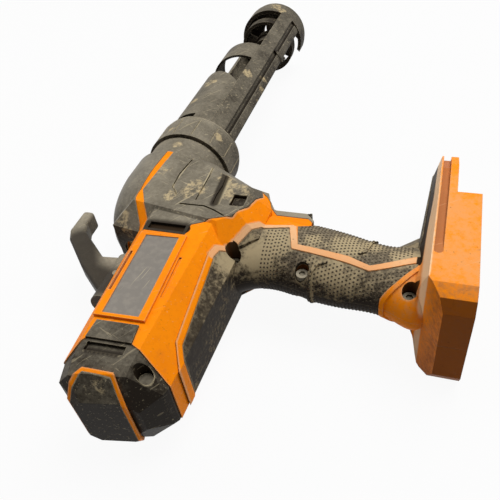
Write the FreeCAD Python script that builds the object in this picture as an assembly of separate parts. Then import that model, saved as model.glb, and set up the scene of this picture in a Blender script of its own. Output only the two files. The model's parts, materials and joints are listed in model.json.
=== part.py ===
import FreeCAD, Part
import math
import os

V = FreeCAD.Vector

# Frame: X runs down the handle, Y forward along the rod, Z to the tool's right side, rod axis at X = Z = 0

# Rod, rack and plunger
rod_r = 5.6
rack_module = 1.5
rack_pinion_teeth = 12
rack_pitch_x = 3.6
rack_gaps_behind = 4
rack_gaps_ahead = 47
plunger_r = 23.5
plunger_front_y = 204.0
plunger_t = 7.0
plunger_rim_t = 2.4
plunger_rim_l = 9.0
plunger_hub_r = 10.0
plunger_hub_l = 8.0
plunger_windows = 4
plunger_window_r0 = 12.0
plunger_window_r1 = 20.5
plunger_window_deg = 64.0
plunger_screw_r = 2.5
plunger_screw_l = 16.0
plunger_screw_head_r = 6.0
plunger_screw_head_t = 3.0

# Pull hook on the rod's rear end
hook_boss_r = 8.0
hook_boss_front_y = -92.0
hook_boss_l = 33.0
hook_boss_floor = 3.0
hook_w = 12.5
hook_outline = ((4.0, -124.0), (-4.9, -120.0), (-25.7, -103.1), (-44.8, -84.1), (-48.5, -77.0), (-48.8, -58.5),
                (-41.0, -58.5), (-40.6, -69.0), (-37.5, -76.0), (-16.0, -94.0), (-6.0, -93.0), (4.0, -93.0))
hook_corner_r = 2.6
hook_edge_r = 2.4
hook_round_x = -6.0
hook_pin_r = 1.75

# Gear train
pressure_deg = 25.0
addendum_share = 0.9
dedendum_share = 1.2
backlash = 0.18
flank_steps = 4
drive_module = 1.25
drive_gear_teeth = 30
drive_pinion_teeth = 14
drive_angle_deg = 40.5
bevel_module = 1.75
bevel_pinion_teeth = 10
bevel_gear_teeth = 20
bevel_face_share = 0.3
rack_pinion_w = 10.0
drive_gear_w = 7.0
drive_gear_z = 7.5
drive_shaft_y = -46.6
shaft_r = 4.5
shaft_half_l = 22.5
bevel_hub_r = 8.0
bevel_hub_end_z = -17.0
output_shaft_r = 4.0
output_hub_l = 2.5
output_shaft_in_l = 6.0
bearing_r = 8.5
bearing_w = 5.0
bearing_gap = 0.06
bush_wall = 2.6
bush_gap = 0.06

# Motor and gearbox
motor_room_r = 22.6
motor_room_lead = 7.0
gearbox_front_y = -87.5
gearbox_l = 30.0
gearbox_nose_r = 13.0
gearbox_nose_l = 2.0
motor_r = 20.5
motor_l = 48.0
bracket_r = 20.0
bracket_l = 10.0

# Nose, collar and cartridge cradle
plunger_gap = 0.8
nose_wall = 3.2
nose_rear_y = -26.0
nose_floor_y = -18.0
nose_front_y = -1.2
spigot_wall = 2.0
spigot_front_y = 13.1
run_gap = 0.3
ring_y = 11.3
ring_t = 1.1
ring_depth = 0.8
ring_height = 1.0
ring_gap_deg = 30.0
collar_r = 29.6
collar_l = 23.0
collar_flange_l = 11.0
collar_seat_y = 13.6
collar_seat_r = 28.2
collar_grooves = 14
collar_groove_w = 0.9
collar_groove_depth = 0.5
collar_front_step = 0.7
collar_front_step_l = 3.5
cradle_bore_r = 24.6
cradle_back_deg = 131.0
hood_r = 27.0
hood_half_deg = 66.0
neck_front_y = 25.0
hood_side_y = 74.0
hood_tip_y = 98.0
hood_slot_y = 26.5
hood_slot_w = 5.0
hood_slot_deg = 36.0
rail_top_r = 27.9
rail_w = 12.0
rail_deg = 77.0
rail_lip_deg = 114.0
rail_lip_r = 25.8
rail_gusset_y = 150.0
rail_gusset_t = 3.0
strap_r = 26.4
strap_rear_y = 123.0
strap_front_y = 146.0
cup_r = 28.0
cup_bore_r = 25.0
cup_rear_y = 210.0
cup_front_y = 229.0
cup_floor = 4.0
cup_hole_r = 12.5
cup_step = 1.0
cup_step_l = 5.0

# Housing form
skin_t = 1.4
skin_stand = 0.35
shell_wall = 2.8
case_r = 30.0
case_front_y = -20.5
case_full_y = -38.0
case_tail = ((-48.0, 28.9), (-56.0, 27.2), (-64.0, 24.4), (-72.0, 19.5), (-79.0, 12.6))
body_half_w = 30.0
body_chamfer = 12.0
body_outline = ((-12.0, -20.5), (26.0, -14.0), (60.0, -35.0), (70.0, -38.0),
                (76.0, -52.0), (75.0, -76.0), (58.0, -92.0), (-12.0, -80.0))
hook_clear = 0.7
motor_front_y = -72.0
motor_rear_y = -173.5
motor_shoulder = 7.0
motor_half_w = 28.6
motor_front_low = 33.0
motor_rear_low = 24.6
motor_low_chamfer = 15.0
motor_tilt_deg = 2.5
motor_rear_share = 0.97
cap_edge_y = -179.5
cap_edge_share = 0.91
cap_rear_y = -186.5
cap_rear_share = 0.54
cap_slant_share = 0.15
cap_step = 0.6
grip_sections = ((50.0, -73.0, 45.0, 21.5), (60.0, -69.0, 32.5, 20.3), (70.0, -67.0, 26.5, 18.6),
                 (82.0, -67.3, 22.8, 17.2), (100.0, -70.4, 22.4, 17.0), (125.0, -74.5, 21.2, 16.6),
                 (148.0, -78.0, 20.4, 16.2), (166.0, -79.5, 21.5, 17.0))
shroud_outline = ((58.0, -36.0), (70.0, -38.0), (76.0, -48.0), (95.0, -48.0), (100.0, -53.0),
                  (98.0, -72.0), (58.0, -80.0))
shroud_half_w = 14.0

# Battery foot
foot_top_x = 144.0
foot_corner_x = 158.2
foot_ridge_x = 160.4
foot_plate_x = 164.2
foot_skirt_x = 173.5
foot_bottom_x = 185.5
foot_step_y = -39.0
foot_half = ((20.0, 9.0), (11.0, 20.0), (-8.0, 28.0), (-39.0, 33.0), (-104.0, 33.0), (-110.5, 29.8), (-114.0, 23.0))
foot_ridge_half = ((14.0, 3.0), (6.0, 8.0), (-15.0, 12.0), (-45.0, 17.0), (-90.0, 20.0), (-97.0, 17.0), (-102.0, 12.0))
foot_corner_half = ((-46.0, 3.0), (-50.0, 8.0), (-57.0, 12.0), (-70.0, 14.5), (-88.0, 15.5), (-95.0, 12.0), (-99.0, 7.0))
foot_neck_half = ((-59.0, 3.0), (-62.0, 7.0), (-68.0, 11.0), (-80.0, 13.5), (-88.0, 11.0), (-92.0, 8.0), (-96.0, 4.0))
foot_rear_line = ((161.0, -96.5), (173.2, -115.5))
socket_wall = 4.0
socket_rail = 2.6
socket_rail_t = 3.5
foot_room_top_x = 165.5
foot_room_half_w = 14.0
foot_room_rear_y = -94.0
foot_room_front_y = -62.0
terminal_t = 7.0
blade_count = 4
blade_t = 1.0
blade_l = 18.0
blade_h = 8.0
groove_x0 = 165.2
groove_x1 = 169.3
groove_half = ((20.0, 6.5), (9.5, 18.0), (-9.0, 26.0), (-39.0, 31.0), (-74.0, 31.3), (-86.0, 33.0))
bumper_half = ((15.0, 2.0), (7.0, 7.0), (-15.0, 10.5), (-45.0, 14.5), (-58.0, 16.0), (-66.0, 14.0))

# Trigger, switch and lock button
trigger_top_x = 72.6
trigger_low_x = 96.4
trigger_front_y = -40.0
trigger_rear_y = -63.0
trigger_half_w = 8.2
trigger_side_gap = 0.4
trigger_dish_r = 30.0
trigger_dish = 2.2
trigger_stem_r = 2.6
trigger_stem_l = 12.0
trigger_travel = 6.0
switch_front_y = -70.5
switch_rear_y = -83.0
stem_gap = 0.3
lock_x = 60.0
lock_y = -60.0
lock_h = 7.5
lock_w = 9.0
lock_half_l = 29.0
lock_rest_z = -2.0
lock_gap = 0.3
lock_scoop_r = 26.0
lock_scoop_depth = 1.2

# Surface details and fasteners
label_x0 = 18.4
label_x1 = 37.2
label_front_y = -95.0
label_rear_y = -149.0
label_pocket = 1.0
label_t = 0.6
label_frame = 3.8
label_frame_h = 0.9
slit_off = 5.5
slit_w = 1.4
slit_depth = 1.2
slit_front_y = -108.0
slit_rear_y = -135.0
cap_outline = ((16.5, -163.0), (39.6, -163.0), (58.0, -172.0), (95.0, -172.0), (95.0, -215.0),
               (-30.0, -215.0), (-30.0, -177.0), (6.0, -177.0))
tab_outline = ((17.5, -153.0), (38.9, -153.0), (39.6, -163.0), (16.5, -163.0))
tab_stand = 0.8
vent_x0 = 18.1
vent_x1 = 37.5
vent_front_y = -164.5
vent_rear_y = -169.0
vent_depth = 3.4
vent_teeth = 9
vent_tooth_share = 0.5
vent_tooth_l = 1.2
cap_wall = 4.5
cap_thin_wall = 1.8
band_outline = ((22.3, -178.0), (37.4, -178.0), (64.0, -215.0), (-6.0, -215.0))
band_stand = 0.9
trim_w = 1.8
case_outline = ((-60.0, -20.5), (-0.5, -20.5), (-3.5, -61.0), (6.0, -80.0), (6.0, -120.0), (-60.0, -120.0))
panel_outline = ((4.5, -10.0), (1.0, -60.0), (11.5, -79.0), (15.0, -91.0), (40.0, -91.0), (40.5, -83.0),
                 (49.0, -78.5), (61.0, -74.0), (66.0, -63.0), (69.5, -46.0), (63.0, -30.0), (30.0, -10.0))
panel_slot = ((17.5, -84.5), (38.5, -84.5), (38.5, -89.5), (17.5, -89.5))
panel_slot_depth = 3.0
grip_outline = ((58.0, -98.0), (59.0, -92.5), (64.6, -87.0), (69.6, -77.8), (75.0, -68.5), (89.5, -64.0),
                (94.2, -78.7), (125.0, -83.6), (136.0, -86.0), (159.0, -79.8), (159.0, -82.0), (151.0, -90.0),
                (143.0, -96.0), (140.0, -135.0), (100.0, -135.0), (85.0, -162.0), (66.0, -162.0), (61.0, -151.0))
pad_outline = ((104.0, -40.0), (163.0, -40.0), (160.0, -74.7), (136.0, -83.3), (125.0, -79.9), (97.0, -76.0),
               (93.3, -61.0), (100.0, -57.5), (103.0, -52.0))
front_outline = ((57.0, -28.0), (72.0, -32.0), (82.0, -42.0), (98.0, -42.0), (106.0, -51.0), (102.0, -56.5),
                 (97.0, -51.6), (78.5, -51.6), (71.0, -42.5), (60.5, -39.5))
rib_stand = 0.9
rim_w = 2.4
ridge_w = 1.7
ridge_stand = 1.3
grip_ridge = ((114.5, -84.1), (109.6, -85.5), (106.3, -90.0), (106.1, -94.3))
pad_ridge = ((136.4, -59.3), (134.4, -65.7), (132.5, -74.7), (130.0, -76.4))
panel_line_w = 1.1
panel_line_depth = 0.7
panel_lines = (((35.3, -29.7), (36.4, -42.9), (36.3, -64.0)),
               ((28.0, -68.9), (42.9, -68.7), (50.0, -71.4), (56.2, -74.6)),
               ((19.4, -27.4), (17.2, -42.2), (18.1, -55.3), (22.7, -61.1)))
panel_trough = ((47.0, -30.0), (49.0, -49.0), (48.4, -58.0), (48.8, -65.0))
panel_trough_w = 4.4
panel_trough_depth = 1.1
screw_spots = ((64.5, -87.5), (102.0, -88.5), (157.0, -94.0))
screw_boss_r = 5.0
screw_r = 1.9
screw_head_r = 3.3
screw_head_t = 2.6
screw_head_z = 6.0
screw_end_z = -7.5
screw_hole_r = 3.8
cap_screw_x = 48.0
cap_screw_y = -173.0
cap_screw_head_z = 15.0
cap_screw_end_z = 4.0
cap_boss_low_z = 14.0
overrun = 1.0
reach = 600.0

# Worked-out sizes
rack_pinion_pitch_r = rack_module * rack_pinion_teeth / 2
drive_gear_pitch_r = drive_module * drive_gear_teeth / 2
drive_pinion_pitch_r = drive_module * drive_pinion_teeth / 2
drive_shaft_x = rack_pitch_x + rack_pinion_pitch_r
shaft_spacing = drive_gear_pitch_r + drive_pinion_pitch_r
drive_angle = math.radians(drive_angle_deg)
motor_x = drive_shaft_x + shaft_spacing * math.cos(drive_angle)
cross_shaft_y = drive_shaft_y - shaft_spacing * math.sin(drive_angle)
bevel_pinion_pitch_r = bevel_module * bevel_pinion_teeth / 2
bevel_gear_pitch_r = bevel_module * bevel_gear_teeth / 2
nose_bore_r = plunger_r + plunger_gap
nose_r = nose_bore_r + nose_wall
spigot_r = nose_bore_r + spigot_wall
collar_bore_r = spigot_r + run_gap
ring_r = spigot_r + ring_height
bush_r = rod_r + bush_gap + bush_wall
tilt_rise = (cross_shaft_y - hook_boss_front_y) * math.sin(math.radians(motor_tilt_deg))
housing_top_x = hook_boss_r + hook_clear - tilt_rise
inner_inset = skin_t + shell_wall
plunger_back_y = plunger_front_y - plunger_t
gearbox_rear_y = gearbox_front_y - gearbox_l
motor_end_y = gearbox_rear_y - motor_l
motor_room_end_y = motor_end_y - bracket_l
case_tail_y = case_tail[len(case_tail) - 1][0]


def prism_z(points, z0, z1):
    ring = [V(x, y, z0) for x, y in points]
    return Part.Face(Part.makePolygon(ring + ring[:1])).extrude(V(0, 0, z1 - z0))


def box(x0, x1, y0, y1, z0, z1):
    return Part.makeBox(x1 - x0, y1 - y0, z1 - z0, V(x0, y0, z0))


def rod_y(radius, y0, y1, x=0, z=0):
    return Part.makeCylinder(radius, y1 - y0, V(x, y0, z), V(0, 1, 0))


def rod_z(radius, z0, z1, x, y):
    return Part.makeCylinder(radius, z1 - z0, V(x, y, z0), V(0, 0, 1))


def join(shapes):
    shapes = list(shapes)
    if len(shapes) == 1:
        return shapes[0]
    return shapes[0].fuse(shapes[1:]).removeSplitter()


def mirror(shape):
    return shape.mirror(V(0, 0, 0), V(0, 0, 1))


def tilt(shape):
    # The motor leans about the cross shaft, so all that belongs to it leans with it
    leaned = shape.copy()
    leaned.rotate(V(motor_x, cross_shaft_y, 0), V(0, 0, 1), motor_tilt_deg)
    return leaned


def inset_outline(points, depth):
    # Move every edge of an outline inward by depth and join the moved edges again
    area = sum(a[0] * b[1] - b[0] * a[1] for a, b in zip(points, points[1:] + points[:1]))
    turn = 1 if area > 0 else -1
    lines = []
    for a, b in zip(points, points[1:] + points[:1]):
        dx, dy = b[0] - a[0], b[1] - a[1]
        size = math.hypot(dx, dy)
        nx, ny = -dy / size * turn, dx / size * turn
        lines.append((nx, ny, nx * a[0] + ny * a[1] + depth))
    moved = []
    for one, two in zip(lines[-1:] + lines[:-1], lines):
        cross = one[0] * two[1] - two[0] * one[1]
        moved.append(((one[2] * two[1] - two[2] * one[1]) / cross, (one[0] * two[2] - two[0] * one[2]) / cross))
    return moved


def loft(wires, ruled=True):
    return Part.makeLoft(wires, True, ruled)


def ring_wire(points):
    return Part.makePolygon(points + points[:1])


def tube_sector(r0, r1, y0, y1, deg0, deg1):
    # A piece of tube about the rod; angles run from +X towards +Z
    face = Part.Face(ring_wire([V(r0, y0, 0), V(r1, y0, 0), V(r1, y1, 0), V(r0, y1, 0)]))
    solid = face.revolve(V(0, 0, 0), V(0, -1, 0), deg1 - deg0)
    solid.rotate(V(0, 0, 0), V(0, -1, 0), deg0)
    return solid


def strip(path, width, z0, z1):
    # A bar of even width that follows a path, rounded at each bend and at its end
    bars = []
    for a, b in zip(path, path[1:]):
        dx, dy = b[0] - a[0], b[1] - a[1]
        size = math.hypot(dx, dy)
        nx, ny = -dy / size * width / 2, dx / size * width / 2
        bars.append(prism_z([(a[0] + nx, a[1] + ny), (b[0] + nx, b[1] + ny), (b[0] - nx, b[1] - ny),
                             (a[0] - nx, a[1] - ny)], z0, z1))
        bars.append(rod_z(width / 2, z0, z1, b[0], b[1]))
    return join(bars)


def turned_y(profile):
    # A solid turned about the rod axis from (radius, y) pairs
    return Part.Face(ring_wire([V(r, y, 0) for r, y in profile])).revolve(V(0, 0, 0), V(0, 1, 0), 360)


# Gear teeth: involute flanks in short chords, thinned by the backlash
def tooth_rays(module, teeth, pitch_r):
    pressure = math.radians(pressure_deg)
    base_r = pitch_r * math.cos(pressure)
    tip_r = pitch_r + module * addendum_share
    root_r = pitch_r - module * dedendum_share
    half_pitch = (math.pi * module / 2 - backlash) / (2 * pitch_r)

    def half_angle(radius):
        slope = math.acos(min(1, base_r / max(radius, base_r)))
        return half_pitch + math.tan(pressure) - pressure - (math.tan(slope) - slope)

    low = max(base_r, root_r)
    radii = [low + (tip_r - low) * step / flank_steps for step in range(flank_steps + 1)]
    rays = [(radius, half_angle(radius)) for radius in radii]
    if root_r < low:
        rays = [(root_r, half_angle(low))] + rays
    return rays


def gear_points(rays, teeth, first):
    # Outline points as (radius, angle) round the whole gear, one tooth centred on the first angle
    outline = []
    for tooth in range(teeth):
        middle = first + 2 * math.pi * tooth / teeth
        outline += [(radius, middle - half) for radius, half in rays]
        outline += [(radius, middle + half) for radius, half in reversed(rays)]
    return outline


def spur_gear(module, teeth, x, y, z0, z1, first):
    rays = tooth_rays(module, teeth, module * teeth / 2)
    points = [(x + r * math.cos(a), y + r * math.sin(a)) for r, a in gear_points(rays, teeth, first)]
    return prism_z(points, z0, z1)


def bevel_solid(teeth, pitch_r, mate_r, axis, side, first):
    # Teeth are cones from the shared apex, kept between the back cone and the front cone
    spread = math.atan2(pitch_r, mate_r)
    apex_r = math.hypot(pitch_r, mate_r)
    virtual_r = pitch_r / math.cos(spread)
    flat = []
    for radius, half in tooth_rays(bevel_module, teeth, virtual_r):
        rise = radius - virtual_r
        out, along = pitch_r + rise * math.cos(spread), mate_r - rise * math.sin(spread)
        flat.append((out / along, half / math.cos(spread)))

    def at(radius, angle, along):
        u, v = radius * math.cos(angle), radius * math.sin(angle)
        local = axis * along + side * u + axis.cross(side) * v
        return V(motor_x, cross_shaft_y, 0) + local

    tip = bevel_module * addendum_share
    root = bevel_module * dedendum_share
    far, near = 1, 1 - bevel_face_share
    corners = []
    for scale, rise in ((far, tip), (far, -root - bevel_module), (near, -root - bevel_module), (near, tip)):
        corners.append((scale * (pitch_r + rise * math.cos(spread)), scale * (mate_r - rise * math.sin(spread))))
    alongs = [c[1] for c in corners]
    ends = (min(alongs) - overrun, max(alongs) + overrun)
    wires = [ring_wire([at(r * end, a, end) for r, a in gear_points(flat, teeth, first)]) for end in ends]
    (tip_far, low_far, low_near, tip_near) = corners
    hub = [(0, low_far[1]), low_far, tip_far, tip_near, low_near, (0, low_near[1])]
    blank = Part.Face(ring_wire([at(r, 0, along) for r, along in hub]))
    blank = blank.revolve(V(motor_x, cross_shaft_y, 0), axis, 360)
    return loft(wires).common(blank), low_far, low_near


# Housing form, grown or shrunk by an inset so that skins and walls follow it
def case_form(inset):
    profile = [V(case_r - inset, case_full_y, 0)] + [V(r - inset, y + inset, 0) for y, r in case_tail]
    tail = Part.BSplineCurve()
    tail.interpolate(profile)
    end = profile[len(profile) - 1]
    edges = [Part.makeLine(V(0, case_front_y, 0), V(case_r - inset, case_front_y, 0)),
             Part.makeLine(V(case_r - inset, case_front_y, 0), profile[0]), tail.toShape(),
             Part.makeLine(end, V(0, end.y, 0)), Part.makeLine(V(0, end.y, 0), V(0, case_front_y, 0))]
    return Part.Face(Part.Wire(edges)).revolve(V(0, 0, 0), V(0, 1, 0), 360)


def body_form(inset):
    bevel_share = math.sqrt(2) - 1
    wide = body_half_w - inset
    mid = body_half_w - body_chamfer - inset * bevel_share
    low = inset_outline(list(body_outline), inset)
    top = inset_outline(list(body_outline), body_chamfer + inset * bevel_share)
    core = prism_z(low, -mid, mid)
    side = loft([ring_wire([V(x, y, mid) for x, y in low]), ring_wire([V(x, y, wide) for x, y in top])])
    return join([core, side, mirror(side)])


def motor_section(share, low):
    high = (housing_top_x - motor_x) * share
    side = motor_half_w * share
    cut_high, cut_low = motor_shoulder * share, motor_low_chamfer * share
    half = ((high, side - cut_high), (high + cut_high, side), (low - cut_low, side), (low, side - cut_low))
    return [(motor_x + x, z) for x, z in half] + [(motor_x + x, -z) for x, z in reversed(half)]


def motor_form(inset):
    wires = []
    low_share = motor_rear_low / motor_rear_share
    for y, share, low, slant in ((motor_front_y, 1, motor_front_low, 0), (motor_rear_y, motor_rear_share, motor_rear_low, 0),
                                 (cap_edge_y, cap_edge_share, cap_edge_share * low_share, cap_slant_share),
                                 (cap_rear_y + inset, cap_rear_share, cap_rear_share * low_share, cap_slant_share)):
        section = inset_outline(motor_section(share, low), inset)
        wires.append(ring_wire([V(x, y + (x - motor_x) * slant, z) for x, z in section]))
    return tilt(join([loft(wires[:2]), loft(wires[1:3]), loft(wires[2:])]))


def grip_form(inset):
    wires = []
    for x, y, deep, wide in grip_sections:
        curve = Part.Ellipse(V(x, y + deep - inset, 0), V(x, y, wide - inset), V(x, y, 0))
        wires.append(Part.Wire(curve.toShape()))
    return loft(wires, False)


def full_ring(half):
    return list(half) + [(y, -z) for y, z in reversed(half)]


def ring_x(half, x):
    return ring_wire([V(x, y, z) for y, z in full_ring(half)])


def prism_x(points, x0, x1):
    return Part.Face(ring_wire([V(x0, y, z) for y, z in points])).extrude(V(x1 - x0, 0, 0))


def foot_form():
    rings = ((foot_neck_half, foot_top_x), (foot_corner_half, foot_corner_x), (foot_ridge_half, foot_ridge_x),
             (foot_half, foot_plate_x))
    wires = [ring_x(half, x) for half, x in rings]
    outline = full_ring(foot_half)
    skirt = prism_x(outline, foot_plate_x, foot_bottom_x)
    skirt = skirt.common(box(foot_plate_x, foot_bottom_x, -reach, foot_step_y, -reach, reach))
    slope = [loft([one, two]) for one, two in zip(wires, wires[1:])]
    form = join(slope + [prism_x(outline, foot_plate_x, foot_skirt_x), skirt])
    (high_x, high_y), (low_x, low_y) = foot_rear_line
    return form.cut(prism_z([(high_x, high_y), (low_x, low_y), (low_x, -reach), (0, -reach), (0, high_y)], -reach, reach))


def moved_x(shape, step):
    copied = shape.copy()
    copied.translate(V(step, 0, 0))
    return copied


def main_form(inset):
    shroud = prism_z(inset_outline(list(shroud_outline), inset), inset - shroud_half_w, shroud_half_w - inset)
    return [case_form(inset), body_form(inset), motor_form(inset), grip_form(inset), shroud]


right_side = box(-reach, reach, -reach, reach, 0, reach)
foot = foot_form()
outer = join(main_form(0) + [foot])
under = join(main_form(skin_t) + [foot])
proud = join(main_form(-skin_stand))
outer_right = outer.common(right_side)
under_right = under.common(right_side)
proud_right = proud.common(right_side)


def skin(outline):
    # A moulded skin over one part of the right half, standing a little proud of it
    return proud_right.cut(under_right).common(prism_z(list(outline), 0, reach))


def largest(shape):
    return max(shape.Solids, key=lambda solid: solid.Volume)


# Rooms inside the housing
gear_room = join([case_form(inner_inset), body_form(inner_inset)])
gear_room = gear_room.common(box(-reach, reach, gearbox_front_y, nose_rear_y, -reach, reach))
motor_room = tilt(rod_y(motor_room_r, motor_room_end_y, gearbox_front_y + motor_room_lead, motor_x))
grip_room = grip_form(inner_inset).common(box(trigger_low_x, foot_room_top_x + overrun, -reach, reach, -reach, reach))
switch_room = box(trigger_top_x - trigger_side_gap, trigger_low_x + trigger_side_gap, switch_rear_y, 0,
                  -trigger_half_w - trigger_side_gap, trigger_half_w + trigger_side_gap)
foot_room = box(foot_room_top_x, foot_skirt_x + overrun, foot_room_rear_y, foot_room_front_y,
                -foot_room_half_w, foot_room_half_w)
groove_ring = list(groove_half) + [(groove_half[-1][0], reach), (reach, reach), (reach, groove_half[0][1])]
foot_groove = prism_x(groove_ring, groove_x0, groove_x1)
socket_ring = full_ring(foot_half)
socket = join([prism_x(inset_outline(socket_ring, socket_wall), foot_skirt_x, foot_bottom_x - socket_rail_t),
               prism_x(inset_outline(socket_ring, socket_wall + socket_rail), foot_skirt_x, foot_bottom_x + overrun)])
nose_hole = rod_y(nose_r, nose_rear_y, 0)
rod_hole = rod_y(bush_r, -reach, nose_rear_y).common(box(-reach, reach, case_tail_y - overrun, 0, -reach, reach))
rod_hole = rod_hole.fuse(rod_y(hook_boss_r + hook_clear, cap_rear_y, case_tail_y - overrun / 2))
lock_hole = box(lock_x - lock_h / 2 - lock_gap, lock_x + lock_h / 2 + lock_gap,
                lock_y - lock_w / 2 - lock_gap, lock_y + lock_w / 2 + lock_gap, -reach, reach)
lock_scoop = Part.makeSphere(lock_scoop_r, V(lock_x, lock_y, body_half_w + lock_scoop_r - lock_scoop_depth))

# Skins of the right half
cap_region = tilt(prism_z(list(cap_outline), -reach, reach))
case_skin = skin(case_outline).cut(cap_region).cut(nose_hole).cut(rod_hole)
panel_pocket = prism_z(list(panel_slot), body_half_w - panel_slot_depth, reach)
side_panel = skin(panel_outline).cut(nose_hole).cut(lock_hole).cut(lock_scoop).cut(panel_pocket)
grip_skin = skin(grip_outline).cut(cap_region)
front_pad = skin(pad_outline).cut(switch_room)
front_strip = skin(front_outline).cut(prism_z(list(pad_outline), 0, reach)).cut(prism_z(list(panel_outline), 0, reach))
front_strip = largest(front_strip.cut(switch_room).cut(nose_hole))
screw_holes = join(rod_z(screw_hole_r, 0, reach, x, y) for x, y in screw_spots)
for path in panel_lines:
    side_panel = side_panel.cut(strip(path, panel_line_w, body_half_w - panel_line_depth, reach))
side_panel = side_panel.cut(strip(panel_trough, panel_trough_w, body_half_w - panel_trough_depth, reach))
ridge_layer = grip_form(-ridge_stand).cut(grip_form(skin_t / 2)).common(right_side)
grip_skin = join([largest(grip_skin.cut(screw_holes)), ridge_layer.common(strip(grip_ridge, ridge_w, 0, reach))])
front_pad = join([largest(front_pad), ridge_layer.common(strip(pad_ridge, ridge_w, 0, reach))])
case_skin = largest(case_skin)
side_panel = largest(side_panel)
rib_outline = list(grip_outline[5:10]) + list(pad_outline[2:7])
rib = grip_form(-rib_stand).cut(grip_form(skin_t)).common(right_side).common(prism_z(rib_outline, 0, reach))
rim_region = prism_z(inset_outline(list(grip_outline), -rim_w), 0, reach).cut(prism_z(list(grip_outline), 0, reach))
rim_forms = join([motor_form(-rib_stand), grip_form(-rib_stand), body_form(-rib_stand)])
rim = rim_forms.cut(under).common(rim_region).cut(cap_region)

# Right half of the shell
shell = outer_right.cut(cap_region)
rooms = [gear_room, motor_room, grip_room, switch_room, foot_room, socket, foot_groove, nose_hole, rod_hole, lock_hole]
for room in rooms:
    shell = shell.cut(room)
shaft_spots = ((drive_shaft_x, drive_shaft_y), (motor_x, cross_shaft_y))
seat_z = shaft_half_l - bearing_w
seats = [rod_z(bearing_r + shell_wall, seat_z, body_half_w, x, y) for x, y in shaft_spots]
bosses = [rod_z(screw_boss_r, 0, reach, x, y) for x, y in screw_spots]
for solid in seats + bosses:
    shell = shell.fuse(solid.common(outer_right))
shell = shell.fuse(rib).fuse(rim)
for x, y in shaft_spots:
    shell = shell.cut(rod_z(bearing_r, 0, shaft_half_l, x, y))
shell = shell.cut(rod_z(drive_gear_pitch_r + drive_module * 2, 0, drive_gear_z + drive_gear_w + overrun,
                        drive_shaft_x, drive_shaft_y))
for solid in (case_skin, side_panel, grip_skin, front_pad, front_strip, motor_room, switch_room):
    shell = shell.cut(solid)
tab_room = proud_right.cut(under_right).common(tilt(prism_z(list(tab_outline), 0, reach)))
shell = shell.cut(tab_room)

# Label frame, label pocket and slits on the right half only
frame_pad = tilt(box(label_x0 - label_frame, label_x1 + label_frame, label_rear_y - label_frame / 2,
                     label_front_y + label_frame / 2, motor_half_w - skin_t, motor_half_w + label_frame_h))
label_pocket_box = tilt(box(label_x0, label_x1, label_rear_y, label_front_y,
                            motor_half_w + label_frame_h - label_pocket, reach))
slits = [tilt(box(x - slit_w / 2, x + slit_w / 2, slit_rear_y, slit_front_y, motor_half_w - slit_depth, reach))
         for x in (label_x0 - slit_off / 2, label_x1 + slit_off)]
left_base = mirror(shell.cut(panel_pocket).removeSplitter())
right_base = join([shell, frame_pad.cut(cap_region).cut(motor_room).cut(side_panel)])
right_base = right_base.cut(label_pocket_box).cut(panel_pocket)
for slit in slits:
    right_base = right_base.cut(slit)

# Screws along Z: heads in the right half, threads in the left half
right_shell, left_shell = right_base, left_base
screws = []
for x, y in screw_spots:
    right_shell = right_shell.cut(rod_z(screw_hole_r, screw_head_z, reach, x, y))
    right_shell = right_shell.cut(rod_z(screw_r, 0, screw_head_z, x, y))
    left_shell = left_shell.cut(rod_z(screw_r, screw_end_z, 0, x, y))
    drive = prism_z([(x + screw_r * math.cos(math.radians(60 * k)), y + screw_r * math.sin(math.radians(60 * k)))
                     for k in range(6)], screw_head_z + screw_head_t / 2, reach)
    screws.append(join([rod_z(screw_r, screw_end_z, screw_head_z, x, y),
                        rod_z(screw_head_r, screw_head_z, screw_head_z + screw_head_t, x, y)]).cut(drive))
right_shell = largest(right_shell.removeSplitter())
left_shell = largest(left_shell.removeSplitter())

# Rear cap: the end of the motor form, its tab, its raised band and the orange piping
motor_bracket = tilt(rod_y(bracket_r, motor_room_end_y, motor_end_y, motor_x))
cap_inside = motor_form(cap_wall).fuse(motor_room.common(motor_form(cap_thin_wall)))
cap_body = motor_form(cap_step).common(cap_region)
band_region = tilt(prism_z(list(band_outline), -reach, reach))
band_inner = tilt(prism_z(inset_outline(list(band_outline), trim_w), -reach, reach))
band = motor_form(-band_stand).common(cap_region).common(band_region)
cap_boss = tilt(rod_z(screw_boss_r, cap_boss_low_z, reach, cap_screw_x, cap_screw_y)).common(cap_body)
cap_body = join([cap_body.cut(cap_inside), band.cut(cap_inside), cap_boss, mirror(cap_boss)])
tab = motor_form(-tab_stand).cut(motor_form(skin_t)).common(tilt(prism_z(list(tab_outline), 0, reach)))
cap_body = join([cap_body, tab, mirror(tab)])
vent = box(vent_x0, vent_x1, vent_rear_y, vent_front_y, motor_half_w - vent_depth, reach)
tooth_pitch = (vent_x1 - vent_x0) / vent_teeth
combs = [box(vent_x0 + k * tooth_pitch, vent_x0 + (k + vent_tooth_share) * tooth_pitch,
             vent_rear_y - vent_tooth_l, vent_rear_y + overrun, 0, motor_half_w - vent_depth / 2)
         for k in range(vent_teeth)]
cap_vent = tilt(join([vent] + combs))
cap_body = cap_body.cut(cap_vent).cut(mirror(cap_vent))
trim = motor_form(-band_stand).cut(motor_form(skin_t)).common(cap_region).common(band_region).cut(band_inner)
cap_body = cap_body.cut(trim)
cap_screws = []
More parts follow.
